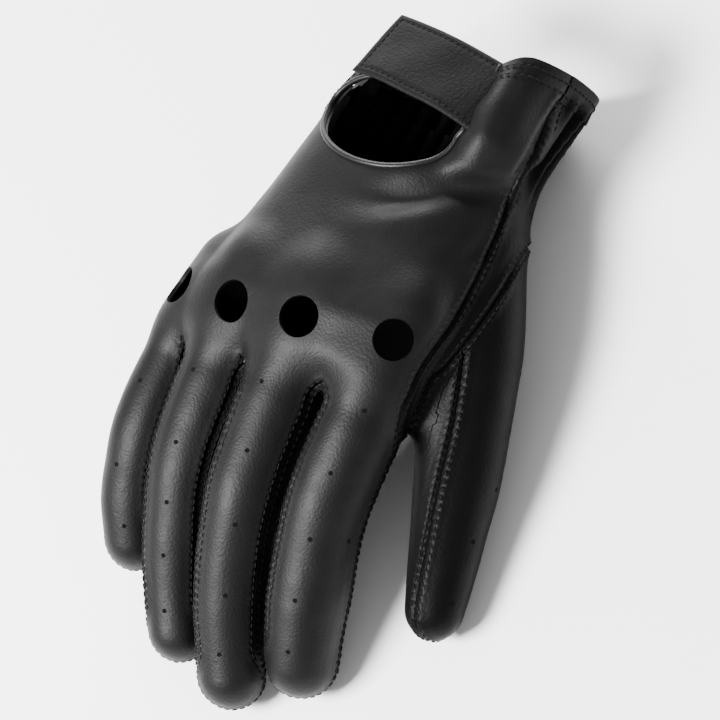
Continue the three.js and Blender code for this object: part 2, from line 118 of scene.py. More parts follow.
keyhole = {
    "x": 2.4, "y": 58, "halfWidth": 23, "halfLength": 15.4, "upperLength": 11,
    "slitX": 24.5, "slitHalf": 2.2, "facingWidth": 4.8, "facingEnd": 6,
    "bindingWidth": 0.8, "bindingHeight": 0.75,
}
cuff = {"x": 8, "y": 81.5, "slant": 6, "hemDepth": 7.5, "dip": 1, "corner": 12}
leather = {"thickness": 1.1, "cell": 0.7, "knuckleHole": 5.6, "vent": 0.62, "gap": 0.9}

origin = np.array(joints["index_root_bend"] / mm - Vector(stalls["index"]["line"][1]))


def smooth(low, high, value):
    t = np.clip((value - low) / (high - low), 0, 1)
    return t * t * (3 - 2 * t)


def smoothUnion(a, b, reach):
    near = np.maximum(reach - np.abs(a - b), 0) / reach
    return np.minimum(a, b) - near * near * reach / 4


def unit(v):
    return v / np.linalg.norm(v, axis=-1, keepdims=True)


# a smooth line through the points of a stall, with its frame and radius every step
def stallLine(stall, step=1.2):
    points = np.array(stall["line"], float)
    reach = np.concatenate([[0], np.cumsum(np.linalg.norm(np.diff(points, axis=0), axis=1))])
    fine = np.arange(0, reach[-1] + step / 2, step)
    slopes = np.gradient(points, reach, axis=0)
    k = np.clip(np.searchsorted(reach, fine, side="right") - 1, 0, len(reach) - 2)
    h = (reach[k + 1] - reach[k])[:, None]
    t = ((fine - reach[k]) / (reach[k + 1] - reach[k]))[:, None]
    centre = ((1 + 2 * t) * (1 - t) ** 2 * points[k] + t * (1 - t) ** 2 * h * slopes[k]
              + t * t * (3 - 2 * t) * points[k + 1] + t * t * (t - 1) * h * slopes[k + 1])
    along = unit(np.gradient(centre, axis=0))
    up = np.array(stall["up"], float)[None, :]
    up = unit(up - along * (along @ up[0])[:, None])
    twist = np.radians(np.interp(fine, reach, stall.get("twist", [0] * len(points))))[:, None]
    across = np.cross(up, along)
    up, across = up * np.cos(twist) + across * np.sin(twist), across * np.cos(twist) - up * np.sin(twist)
    return {
        "centre": centre, "along": along, "up": up, "across": across,
        "radius": np.interp(fine, reach, stall["radius"]), "run": fine,
    }


lines = {name: stallLine(stall) for name, stall in stalls.items()}


# distance to a stall's surface, and the nearest place on its line
def stallDistance(line, points):
    best = np.full(len(points), 1e9, np.float32)
    place = np.zeros(len(points), np.int32)
    for i, (centre, radius) in enumerate(zip(line["centre"], line["radius"])):
        d = np.sqrt(((points - centre.astype(points.dtype)) ** 2).sum(1)) - radius
        closer = d < best
        best[closer] = d[closer]
        place[closer] = i
    return best, place


def alongHand(key, y):
    ys = np.array(handShape["y"], float)[::-1]
    values = np.array(handShape[key], float)[::-1]
    fine = np.arange(ys[0], ys[-1] + 0.5, 0.5)
    coarse = np.interp(fine, ys, values)
    kernel = np.hanning(17)
    padded = np.pad(coarse, 8, mode="edge")
    return np.interp(y, fine, np.convolve(padded, kernel / kernel.sum(), mode="valid"))


# a point's place in the hand's own cross-section: sideways, upwards and the oval's value there
def handCoordinates(points):
    y = points[:, 1]
    roll = np.radians(alongHand("roll", y))
    dx = points[:, 0] - alongHand("x", y)
    dz = points[:, 2] - alongHand("z", y)
    side = dx * np.cos(roll) + dz * np.sin(roll)
    high = -dx * np.sin(roll) + dz * np.cos(roll)
    width = alongHand("across", y)
    height = np.where(high > 0, alongHand("over", y), alongHand("under", y))
    return side, high, width, height


def handDistance(points):
    side, high, width, height = handCoordinates(points)
    n = handShape["squareness"]
    a = np.abs(side / width) + 1e-6
    b = np.abs(high / height) + 1e-6
    q = (a ** n + b ** n) ** (1 / n)
    steep = q ** (1 - n) * np.sqrt((a ** (n - 1) / width) ** 2 + (b ** (n - 1) / height) ** 2)
    body = (q - 1) / steep
    front = handShape["crotchY"] - points[:, 1]
    return -smoothUnion(-body, -front, 8)


def gloveDistance(points):
    hand = handDistance(points)
    whole = hand
    apart = [stallDistance(lines[name], points)[0] for name in fingerNames]
    for i, name in enumerate(fingerNames):
        others = np.min([d for j, d in enumerate(apart) if j != i], axis=0)
        finger = -smoothUnion(-apart[i], (others - apart[i] - leather["gap"]) / 2, 2.5)
        whole = np.minimum(whole, smoothUnion(hand, finger, 7))
    thumb, _ = stallDistance(lines["thumb"], points)
    return smoothUnion(whole, thumb, 8)


# the field is only worked out in a shell of coarse cells round the surface
def gloveField(cell):
    low = np.array([-52.0, -106.0, -3.0])
    high = np.array([68.0, 97.0, 62.0])
    size = np.ceil((high - low) / cell).astype(int)
    coarse = 6
    counts = size // coarse + 2
    axes = [low[i] + np.arange(counts[i]) * cell * coarse for i in range(3)]
    nodes = np.stack(np.meshgrid(*axes, indexing="ij"), -1).reshape(-1, 3).astype(np.float32)
    rough = gloveDistance(nodes).reshape(counts)
    field = np.repeat(np.repeat(np.repeat(rough, coarse, 0), coarse, 1), coarse, 2).astype(np.float32)
    near = np.abs(field) < cell * coarse * 1.6
    where = np.argwhere(near)
    field[near] = gloveDistance((low + where * cell).astype(np.float32))
    return field, low


# the surface of the field: one point in every cell that it crosses, four-sided faces between
def surfaceNets(field, low, cell):
    inside = field < 0
    cells = tuple(n - 1 for n in field.shape)
    total = np.zeros(cells + (3,), np.float32)
    count = np.zeros(cells, np.float32)
    crossings = []
    for axis in range(3):
        first = [slice(None)] * 3
        second = [slice(None)] * 3
        first[axis] = slice(0, -1)
        second[axis] = slice(1, None)
        a, b = field[tuple(first)], field[tuple(second)]
        crossed = inside[tuple(first)] != inside[tuple(second)]
        crossings.append(crossed)
        where = np.argwhere(crossed)
        share = a[crossed] / (a[crossed] - b[crossed])
        point = where.astype(np.float32)
        point[:, axis] += share
        others = [i for i in range(3) if i != axis]
        for p in (0, 1):
            for q in (0, 1):
                owner = where.copy()
                owner[:, others[0]] -= p
                owner[:, others[1]] -= q
                ok = ((owner >= 0) & (owner < cells)).all(1)
                np.add.at(total, tuple(owner[ok].T), point[ok])
                np.add.at(count, tuple(owner[ok].T), 1)
    used = count > 0
    number = np.full(cells, -1, np.int64)
    number[used] = np.arange(used.sum())
    verts = low + total[used] / count[used][:, None] * cell
    faces = []
    for axis in range(3):
        where = np.argwhere(crossings[axis])
        u, v = (axis + 1) % 3, (axis + 2) % 3
        where = where[(where[:, u] > 0) & (where[:, v] > 0)]
        where = where[(where[:, u] < cells[u]) & (where[:, v] < cells[v])]
        corners = []
        for du, dv in ((-1, -1), (0, -1), (0, 0), (-1, 0)):
            owner = where.copy()
            owner[:, u] += du
            owner[:, v] += dv
            corners.append(number[tuple(owner.T)])
        quads = np.stack(corners, 1)
        outward = inside[tuple(where.T)]
        quads[~outward] = quads[~outward][:, ::-1]
        faces.append(quads)
    return verts, np.concatenate(faces)


# the normal of each four-sided face, as long as the face is large
def quadNormals(points, quads):
    corners = points[quads]
    return np.cross(corners[:, 2] - corners[:, 0], corners[:, 3] - corners[:, 1])


def vertexNormals(verts, faces):
    across = quadNormals(verts, faces)
    normals = np.zeros_like(verts)
    for corner in range(4):
        for axis in range(3):
            normals[:, axis] += np.bincount(faces[:, corner], across[:, axis], len(verts))
    return normals / np.maximum(np.linalg.norm(normals, axis=1, keepdims=True), 1e-9)


def faceEdges(faces):
    return np.concatenate([faces[:, [i, (i + 1) % 4]] for i in range(4)])


# edges that only one face has
def rimEdges(faces, count):
    edges = faceEdges(faces)
    keys = edges[:, 0].astype(np.int64) * count + edges[:, 1]
    back = edges[:, 1].astype(np.int64) * count + edges[:, 0]
    return edges[~np.isin(keys, back)]


def relax(verts, faces, rounds, share=0.5):
    edges = faceEdges(faces)
    degree = np.maximum(np.bincount(edges[:, 0], minlength=len(verts)), 1)[:, None]
    for _ in range(rounds):
        pulled = np.stack([np.bincount(edges[:, 0], verts[edges[:, 1], axis], len(verts))
                           for axis in range(3)], 1) / degree
        verts = verts + share * (pulled - verts)
    return verts


# what each place on the leather is: which stall, which panel, how far from a seam
def describe(verts):
    where = {}
    distances, places = zip(*(stallDistance(lines[name], verts) for name in stalls))
    owner = np.argmin(np.stack(distances), 0)
    side, high, _, _ = handCoordinates(verts)
    y = verts[:, 1]
    turned = np.degrees(np.arctan2(side, high))
    seamAngle = np.where(turned > 0, alongHand("seam", y), 92)
    handSeam = (np.abs(turned) - seamAngle) * np.radians(1.2) * np.hypot(side, high)
    handSeam = handSeam + (-high - handSeam) * smooth(-3, -13, y)
    seam = np.where(y < handShape["crotchY"] - 12, 0.0, handSeam)
    fourchette = np.zeros(len(verts))
    for i, name in enumerate(fingerNames):
        line, place = lines[name], places[i]
        rel = verts - line["centre"][place]
        lift = np.clip((rel * line["up"][place]).sum(1) / np.linalg.norm(rel, axis=1), -1, 1)
        sideways = (rel * line["across"][place]).sum(1)
        radius = line["radius"][place]
        onFinger = (owner == i) & (y < -4)
        around = -np.arcsin(lift) * radius
        share = smooth(-13, -26, y)
        seam[onFinger] = (handSeam + (around - handSeam) * share)[onFinger]
        degrees = np.where(sideways > 0, stalls[name]["fourchettes"]["radial"],
                           stalls[name]["fourchettes"]["ulnar"])
        last = line["run"][-1]
        width = np.radians(degrees) * radius * (1 - smooth(last - 9, last + 1, line["run"][place]))
        fourchette[onFinger] = width[onFinger]
    thumb = lines["thumb"]
    rel = verts - thumb["centre"][places[4]]
    lift = np.clip((rel * thumb["up"][places[4]]).sum(1) / np.linalg.norm(rel, axis=1), -1, 1)
    where["thumbSeam"] = -np.arcsin(lift) * thumb["radius"][places[4]]
    where["thumbRound"] = thumbRoundDistance(verts, distances[4])
    away = where["thumbRound"] < -4
    seam[away] = np.maximum(seam[away], 3)
    where["seam"] = seam
    where["fourchette"] = fourchette
    where["owner"] = owner
    where["side"] = side
    where["high"] = high
    where["backEdge"] = seam + fourchette
    where["palmEdge"] = seam - fourchette
    return where


thumbShape = {
    "ball": (54, 10, 8), "ballRadius": 35.5, "rootEnd": -4, "seamStart": 6,
    "seamPoint": (44.2, 38.4, 22.4), "seamFacing": (0.57, -0.241, -0.785),
}


# negative inside the round seam that sets the thumb into the hand
def thumbRoundDistance(points, fromStall):
    ball = np.linalg.norm(points - np.array(thumbShape["ball"]), axis=1) - thumbShape["ballRadius"]
    plane = -(points - np.array(thumbShape["seamPoint"])) @ np.array(thumbShape["seamFacing"])
    stallOnly = fromStall - 2.5 + 1.6 * np.maximum(points[:, 1] + 4, 0)
    return smoothUnion(-smoothUnion(-ball, -plane, 10), stallOnly, 6)


cuffNormal = np.array([-math.sin(math.radians(cuff["slant"])), math.cos(math.radians(cuff["slant"])), 0])


def beyondCuff(points):
    straight = (points - np.array([cuff["x"], cuff["y"], 0])) @ cuffNormal
    above = smooth(24, 32, points[:, 2])
    under = cuff["dip"] * (1 - smooth(20, 25, points[:, 0])) * above
    corner = cuff["corner"] * (1 - smooth(-24, -9, points[:, 0])) * smooth(12, 24, points[:, 2])
    besideSlit = 3 * (1 - smooth(26, 36, points[:, 0])) * above
    return straight + under + corner + besideSlit


# the keyhole and the slit that runs from it to the cuff's edge; negative inside the opening
def insideKeyhole(points):
    across = (points[:, 0] - keyhole["x"]) / keyhole["halfWidth"]
    beyond = points[:, 1] > keyhole["y"]
    along = (points[:, 1] - keyhole["y"]) / np.where(beyond, keyhole["upperLength"], keyhole["halfLength"])
    oval = (np.hypot(across, along) - 1) * keyhole["upperLength"]
    slit = np.abs(points[:, 0] - keyhole["slitX"]) - keyhole["slitHalf"]
    slit = np.where(beyond, slit, 30)
    opening = np.minimum(oval, slit)
    return np.where(points[:, 2] > handShape["z"][3], opening, 30)


def insideKnuckleHole(points, stall):
    centre = np.array(stall["knuckle"], float)
    facing = unit(np.array(stall["knuckleFacing"], float))
    rel = points - centre
    depth = rel @ facing
    apart = np.linalg.norm(rel - depth[:, None] * facing, axis=1) - leather["knuckleHole"]
    return np.where(np.abs(depth) < 9, apart, 30)


# ordered lines where a value over the surface is zero
def traceLines(verts, normals, faces, value, keep=None):
    tris = np.concatenate([faces[:, [0, 1, 2]], faces[:, [0, 2, 3]]])
    positive = value[tris] > 0
    mixed = positive.any(1) & ~positive.all(1)
    if keep is not None:
        mixed &= keep[tris].all(1)
    tris, positive = tris[mixed], positive[mixed]
    keys = []
    for i in range(3):
        a, b = tris[:, i], tris[:, (i + 1) % 3]
        key = np.minimum(a, b).astype(np.int64) * len(verts) + np.maximum(a, b)
        keys.append(np.where(positive[:, i] != positive[:, (i + 1) % 3], key, -1))
    pairs = np.sort(np.stack(keys, 1), 1)[:, 1:]
    names, ends = np.unique(pairs, return_inverse=True)
    ends = ends.reshape(-1, 2)
    low, high = names // len(verts), names % len(verts)
    t = (value[low] / (value[low] - value[high]))[:, None]
    points = verts[low] * (1 - t) + verts[high] * t
    outward = unit(normals[low] * (1 - t) + normals[high] * t)
    neighbours = [[] for _ in names]
    for a, b in ends.tolist():
        neighbours[a].append(b)
        neighbours[b].append(a)
    starts = [i for i, n in enumerate(neighbours) if len(n) == 1] + list(range(len(names)))
    seen = np.zeros(len(names), bool)
    found = []
    for start in starts:
        if seen[start]:
            continue
        chain = [start]
        seen[start] = True
        while True:
            following = [n for n in neighbours[chain[-1]] if not seen[n]]
            if not following:
                break
            chain.append(following[0])
            seen[following[0]] = True
        closed = len(chain) > 3 and start in neighbours[chain[-1]]
        if len(chain) > 8:
            found.append((points[chain], outward[chain], closed))
    return found


# evens out a traced line and sets its points a fixed step apart
def evenLine(points, outward, closed, step, rounds=6):
    for _ in range(rounds):
        if closed:
            points = (np.roll(points, 1, 0) + points * 2 + np.roll(points, -1, 0)) / 4
        else:
            points[1:-1] = (points[:-2] + points[1:-1] * 2 + points[2:]) / 4
    if closed:
        points = np.concatenate([points, points[:1]])
        outward = np.concatenate([outward, outward[:1]])
    reach = np.concatenate([[0], np.cumsum(np.linalg.norm(np.diff(points, axis=0), axis=1))])
    count = max(int(round(reach[-1] / step)), 2)
    at = np.linspace(0, reach[-1], count + 1)
    if closed:
        at = at[:-1]
    points = np.stack([np.interp(at, reach, points[:, i]) for i in range(3)], 1)
    outward = unit(np.stack([np.interp(at, reach, outward[:, i]) for i in range(3)], 1))
    return points, outward, at


def traceSeams(verts, normals, faces, where):
    y = verts[:, 1]
    fromThumb = where["thumbRound"] > 0.5
    hem = beyondCuff(verts) < -cuff["hemDepth"]
    seams = {
        "back": traceLines(verts, normals, faces, where["backEdge"], fromThumb & hem),
        "palm": traceLines(verts, normals, faces, where["palmEdge"],
                           fromThumb & (where["fourchette"] > 0.8) & (y < -4)),
        "thumbSide": traceLines(verts, normals, faces, where["thumbSeam"],
                                (where["owner"] == 4) & (y < thumbShape["seamStart"]) &
                                (where["thumbRound"] < -1)),
        "thumbRound": traceLines(verts, normals, faces, where["thumbRound"], where["seam"] > 0.5),
    }
    return {name: [evenLine(*line, step=0.5) for line in found] for name, found in seams.items()}


def seamDistance(verts, seams, where):
    points = np.concatenate([line[0] for found in seams.values() for line in found])
    runs = np.concatenate([line[2] for found in seams.values() for line in found])
    kinds = np.concatenate([np.full(len(line[0]), i)
                            for i, found in enumerate(seams.values()) for line in found])
    tree = KDTree(len(points))
    for i, point in enumerate(points):
        tree.insert(point, i)
    tree.balance()
    distance = np.full(len(verts), 20.0)
    run = np.zeros(len(verts))
    kind = np.zeros(len(verts), int)
    for i, vert in enumerate(verts):
        _, index, apart = tree.find(vert)
        distance[i] = apart
        run[i] = runs[index]
        kind[i] = kinds[index]
    sides = np.stack([where["backEdge"], where["palmEdge"], where["thumbSeam"], where["thumbRound"]])
    sign = np.sign(sides[kind, np.arange(len(verts))])
    return np.minimum(distance, 20) * np.where(sign == 0, 1, sign), run


relief = {
    "lip": 0.34, "lipAt": 1.5, "lipWidth": 1.0, "groove": 0.62, "grooveWidth": 0.62,
    "pucker": 0.07, "stitch": 2.2,
    "softness": 0.55, "softScale": 19, "ripple": 0.06, "rippleScale": 6,
    "creaseDepth": 0.35, "gather": 1.1, "gatherSpacing": 6.6,
}
# the fold beside the strap, and how the leather flattens where it lies on the floor
flap = {"edge": 26.7, "lift": 9.5}
floorSide = {"height": 0.35, "squash": 0.12}

# long soft dents: middle, direction, half length, half width, depth
dents = [
    ((24, 40, 44), (0.8, 0.45, -0.3), 13, 3.4, 1.5),
    ((34, 47, 38), (0.9, 0.2, -0.4), 9, 2.8, 1.4),
    ((14, 36, 47), (0.95, 0.25, 0), 11, 4.5, 0.9),
    ((37, 58, 34), (0.75, -0.4, -0.5), 9, 2.6, 1.3),
    ((40, 30, 36), (0.5, 0.8, -0.3), 12, 3, 0.8),
    ((31, 66, 40), (0.6, -0.75, -0.2), 9, 2.6, 0.8),
]


def noiseAt(points, scale, seed):
    shift = Vector((seed * 7.3, seed * 3.1, seed * 5.7))
    return np.array([noise.noise(Vector(p) / scale + shift) for p in points.tolist()])


def bulge(points):
    x, y = points[:, 0], points[:, 1]
    edge = flap["edge"]
    ridge = smooth(edge - 6, edge + 5, x) * (1 - smooth(edge + 7, edge + 21, x))
    ramp = smooth(42, 60, y) * (flap["lift"] - 2 * smooth(64, 84, y))
    top = smooth(22, 30, points[:, 2])
    return ridge * ramp * top


def leatherRelief(verts, normals, where, seam, run):
    d = np.abs(seam)
    r = relief
    height = r["lip"] * np.exp(-((d - r["lipAt"]) / r["lipWidth"]) ** 2)
    height -= r["groove"] * np.exp(-(d / r["grooveWidth"]) ** 2)
    height += r["pucker"] * np.cos(run * 2 * math.pi / r["stitch"]) * np.exp(-((d - 1.4) / 0.9) ** 2)
    height += r["softness"] * noiseAt(verts, r["softScale"], 1)
    height += r["ripple"] * noiseAt(verts, r["rippleScale"], 2)
    y = verts[:, 1]
    for middle, direction, halfLength, halfWidth, depth in dents:
        rel = verts - np.array(middle, float)
        axis = unit(np.array(direction, float))
        along = rel @ axis
        across = np.linalg.norm(rel - along[:, None] * axis, axis=1)
        height -= depth * np.exp(-(along / halfLength) ** 2 - (across / halfWidth) ** 2)
        beside = (across - halfWidth * 2) / halfWidth
        height += 0.4 * depth * np.exp(-(along / halfLength) ** 2 - beside ** 2)
    # the palm is gathered by the elastic inside the wrist
    around = np.arctan2(where["side"], where["high"]) * 32
    wobble = 1.5 * noiseAt(verts * np.array([1, 0.35, 1]), 9, 4)
    folds = np.cos((around + wobble * 2) * 2 * math.pi / r["gatherSpacing"])
    reachUp = 2 + 9 * (where["side"] > 0)
    gathered = (1 - smooth(reachUp - 8, reachUp, where["high"])) * smooth(44, 58, y)
    gathered *= 1 - smooth(-8, -3, beyondCuff(verts))
    deep = 1 + 0.7 * (where["side"] > 0)
    height += (r["gather"] * deep * (folds - 0.4) - 0.6) * gathered
    # stalls crease across the palm side of their joints
    for i, name in enumerate(fingerNames):
        line = stalls[name]["line"]
        below = smooth(0, 5, where["seam"]) * (where["owner"] == i)
        for joint in (line[2], line[3]):
            height -= r["creaseDepth"] * below * np.exp(-((y - joint[1]) / 1.3) ** 2)
            height += r["creaseDepth"] * below * np.exp(-((np.abs(y - joint[1]) - 4) / 2.2) ** 2)
    return verts + normals * height[:, None]


# faces whose middle is inside an opening go, and the edge left behind moves onto its outline
def cutOpening(verts, normals, faces, inside):
    value = inside(verts)
    gone = value[faces].mean(1) < 0
    kept = faces[~gone]
    edge = np.intersect1d(np.unique(faces[gone]), np.unique(kept))
    small = 0.02
    for _ in range(3):
        here = verts[edge]
        now = inside(here)
        slope = np.stack([(inside(here + small * np.eye(3)[i]) - now) / small for i in range(3)], 1)
        slope -= (slope * normals[edge]).sum(1)[:, None] * normals[edge]
        size = np.maximum((slope * slope).sum(1), 0.2)
        step = np.clip(now / size, -1, 1)
        verts[edge] = here - slope * step[:, None]
    return verts, kept, edge


def makeObject(name, verts, faces, materials, cornerNormals=None, slots=None, attributes=None):
    mesh = bpy.data.meshes.new(name)
    groups = faces if isinstance(faces, list) else [faces]
    flat = np.concatenate([group.ravel() for group in groups])
    sizes = np.concatenate([np.full(len(group), group.shape[1]) for group in groups])
    mesh.vertices.add(len(verts))
    mesh.vertices.foreach_set("co", ((verts + origin) * mm).astype(np.float32).ravel())
    mesh.loops.add(len(flat))
    mesh.loops.foreach_set("vertex_index", flat.astype(np.int32))
    mesh.polygons.add(len(sizes))
    starts = np.concatenate([[0], np.cumsum(sizes)[:-1]])
    mesh.polygons.foreach_set("loop_start", starts.astype(np.int32))
    mesh.polygons.foreach_set("loop_total", sizes.astype(np.int32))
    mesh.update(calc_edges=True)
    for material in materials:
        mesh.materials.append(material)
    if slots is not None:
        mesh.polygons.foreach_set("material_index", slots.astype(np.int32))
    for key, values in (attributes or {}).items():
        mesh.attributes.new(key, "FLOAT", "POINT").data.foreach_set("value", values.astype(np.float32))
    mesh.polygons.foreach_set("use_smooth", np.ones(len(sizes), bool))
    if cornerNormals is not None:
        mesh.normals_split_custom_set(cornerNormals.astype(np.float32).tolist())
    piece = bpy.data.objects.new(name, mesh)
    bpy.context.scene.collection.objects.link(piece)
    return piece


# a panel of leather: its outer face, its flesh side and the cut edge between them
def panel(name, surface, chosen, outside, inside, material, lining):
    verts, normals, faces = surface["verts"], surface["normals"], surface["faces"][chosen]
    used, local = np.unique(faces, return_inverse=True)
    quads = local.reshape(-1, 4)
    count = len(used)
    top = verts[used] + normals[used] * outside
    bottom = verts[used] + normals[used] * inside
    rim = rimEdges(quads, count)
    rimFaces = np.stack([rim[:, 1], rim[:, 0], rim[:, 0] + count, rim[:, 1] + count], 1)
    points = np.concatenate([top, bottom])
    allFaces = np.concatenate([quads, quads[:, ::-1] + count, rimFaces])
    rimNormals = unit(quadNormals(points, rimFaces) + 1e-9)
    here = normals[used]
    corner = np.concatenate([here[quads.ravel()], -here[quads[:, ::-1].ravel()], np.repeat(rimNormals, 4, 0)])
    slots = np.concatenate([np.zeros(len(quads)), np.ones(len(quads)), np.zeros(len(rimFaces))])
    seam = np.tile(surface["seam"][used], 2)
    run = np.tile(surface["run"][used], 2)
    return makeObject(name, points, allFaces, [material, lining], corner, slots, {"seam": seam, "run": run})


def nodeGroup(name, inputs, outputs, kind="ShaderNodeTree"):
    group = bpy.data.node_groups.new(name, kind)
    for label, socketType, value in inputs:
        socket = group.interface.new_socket(name=label, in_out="INPUT", socket_type=socketType)
        if value is not None:
            socket.default_value = value
    for label, socketType in outputs:
        group.interface.new_socket(name=label, in_out="OUTPUT", socket_type=socketType)
    return group, group.nodes.new("NodeGroupInput"), group.nodes.new("NodeGroupOutput")


def addNode(tree, kind, links=None, **settings):
    node = tree.nodes.new(kind)
    for key, value in settings.items():
        setattr(node, key, value)
    for key, value in (links or {}).items():
        if isinstance(value, bpy.types.NodeSocket):
            tree.links.new(value, node.inputs[key])
        else:
            node.inputs[key].default_value = value
    return node


def mathNode(tree, operation, first, second=0.0, clamp=False):
    node = addNode(tree, "ShaderNodeMath", {0: first, 1: second}, operation=operation, use_clamp=clamp)
    return node.outputs[0]


def vectorNode(tree, operation, links):
    return addNode(tree, "ShaderNodeVectorMath", links, operation=operation).outputs[0]


def noiseNode(tree, place, scale, detail):
    return addNode(tree, "ShaderNodeTexNoise", {"Vector": place, "Scale": scale, "Detail": detail})


# pebbled leather grain: little cushions with fine creases between them, and pores
def makeGrainGroup():
    group, given, result = nodeGroup(
        "leatherGrain",
        [("Coordinates", "NodeSocketVector", None), ("Pebble size", "NodeSocketFloat", 1.0),
         ("Creases", "NodeSocketFloat", 1.0)],
        [("Height", "NodeSocketFloat"), ("Mottle", "NodeSocketFloat"), ("Shine", "NodeSocketFloat")])
    coordinates = given.outputs["Coordinates"]
    size = mathNode(group, "DIVIDE", 1000.0, given.outputs["Pebble size"])
    warp = noiseNode(group, coordinates, 900.0, 2.0)
    nudge = vectorNode(group, "SUBTRACT", {0: warp.outputs["Color"], 1: (0.5, 0.5, 0.5)})
    nudge = vectorNode(group, "SCALE", {0: nudge, "Scale": 0.0007})
    place = vectorNode(group, "ADD", {0: coordinates, 1: nudge})
    pebble = addNode(group, "ShaderNodeTexVoronoi", {"Vector": place, "Scale": size}, feature="SMOOTH_F1")
    pebble.inputs["Smoothness"].default_value = 0.35
    cushion = mathNode(group, "MULTIPLY", pebble.outputs["Distance"], -1.0)
    wide = mathNode(group, "MULTIPLY", size, 0.36)
    crease = addNode(group, "ShaderNodeTexVoronoi", {"Vector": place, "Scale": wide},
                     feature="DISTANCE_TO_EDGE")
    line = mathNode(group, "SUBTRACT", 0.12, crease.outputs["Distance"], clamp=True)
    line = mathNode(group, "MULTIPLY", line, 3.0)
    lined = mathNode(group, "MULTIPLY", line, given.outputs["Creases"])
    pores = noiseNode(group, coordinates, 2600.0, 3.0)
    height = mathNode(group, "ADD", mathNode(group, "SUBTRACT", cushion, lined),
                      mathNode(group, "MULTIPLY", pores.outputs["Fac"], 0.5))
    broad = noiseNode(group, coordinates, 45.0, 4.0)
    patchy = noiseNode(group, coordinates, 170.0, 3.0)
    group.links.new(height, result.inputs["Height"])
    group.links.new(broad.outputs["Fac"], result.inputs["Mottle"])
    group.links.new(patchy.outputs["Fac"], result.inputs["Shine"])
    return group


# the crease of a sewn seam, from the distance to it in millimetres kept on the leather
def makeSeamGroup():
    group, given, result = nodeGroup(
        "sewnSeam",
        [("Distance", "NodeSocketFloat", 20.0), ("Along", "NodeSocketFloat", 0.0),
         ("Stitch length", "NodeSocketFloat", 2.2)],
        [("Height", "NodeSocketFloat"), ("Shadow", "NodeSocketFloat")])
    apart = mathNode(group, "ABSOLUTE", given.outputs["Distance"])
    close = mathNode(group, "SUBTRACT", 1.0, mathNode(group, "DIVIDE", apart, 0.42), clamp=True)
    wave = mathNode(group, "MULTIPLY", given.outputs["Along"], 2 * math.pi)
    wave = mathNode(group, "COSINE", mathNode(group, "DIVIDE", wave, given.outputs["Stitch length"]))
    row = mathNode(group, "DIVIDE", mathNode(group, "ABSOLUTE", mathNode(group, "SUBTRACT", apart, 1.3)), 0.8)
    row = mathNode(group, "SUBTRACT", 1.0, row, clamp=True)
    pucker = mathNode(group, "MULTIPLY", mathNode(group, "MULTIPLY", wave, row), 0.35)
    height = mathNode(group, "SUBTRACT", pucker, close)
    group.links.new(height, result.inputs["Height"])
    group.links.new(close, result.inputs["Shadow"])
    return group


grainGroup = makeGrainGroup()
seamGroup = makeSeamGroup()

leatherLooks = {
    "backLeather": {"dark": 0.002, "light": 0.0048, "rough": 0.5, "roughSpread": 0.09, "pebble": 0.75,
                    "creases": 0.3, "grain": 0.00005, "gloss": 0.12},
    "palmLeather": {"dark": 0.0012, "light": 0.003, "rough": 0.44, "roughSpread": 0.1, "pebble": 0.85,
                    "creases": 0.4, "grain": 0.00005, "gloss": 0.05},
    "sideLeather": {"dark": 0.002, "light": 0.004, "rough": 0.46, "roughSpread": 0.1, "pebble": 0.95,
                    "creases": 0.4, "grain": 0.00006, "gloss": 0.1},
    "strapLeather": {"dark": 0.003, "light": 0.0065, "rough": 0.6, "roughSpread": 0.08, "pebble": 0.8,
                     "creases": 0.7, "grain": 0.0001, "gloss": 0.09},
    "bindingLeather": {"dark": 0.008, "light": 0.016, "rough": 0.42, "roughSpread": 0.1, "pebble": 0.85,
                       "creases": 0.2, "grain": 0.00005, "gloss": 0.22},
}


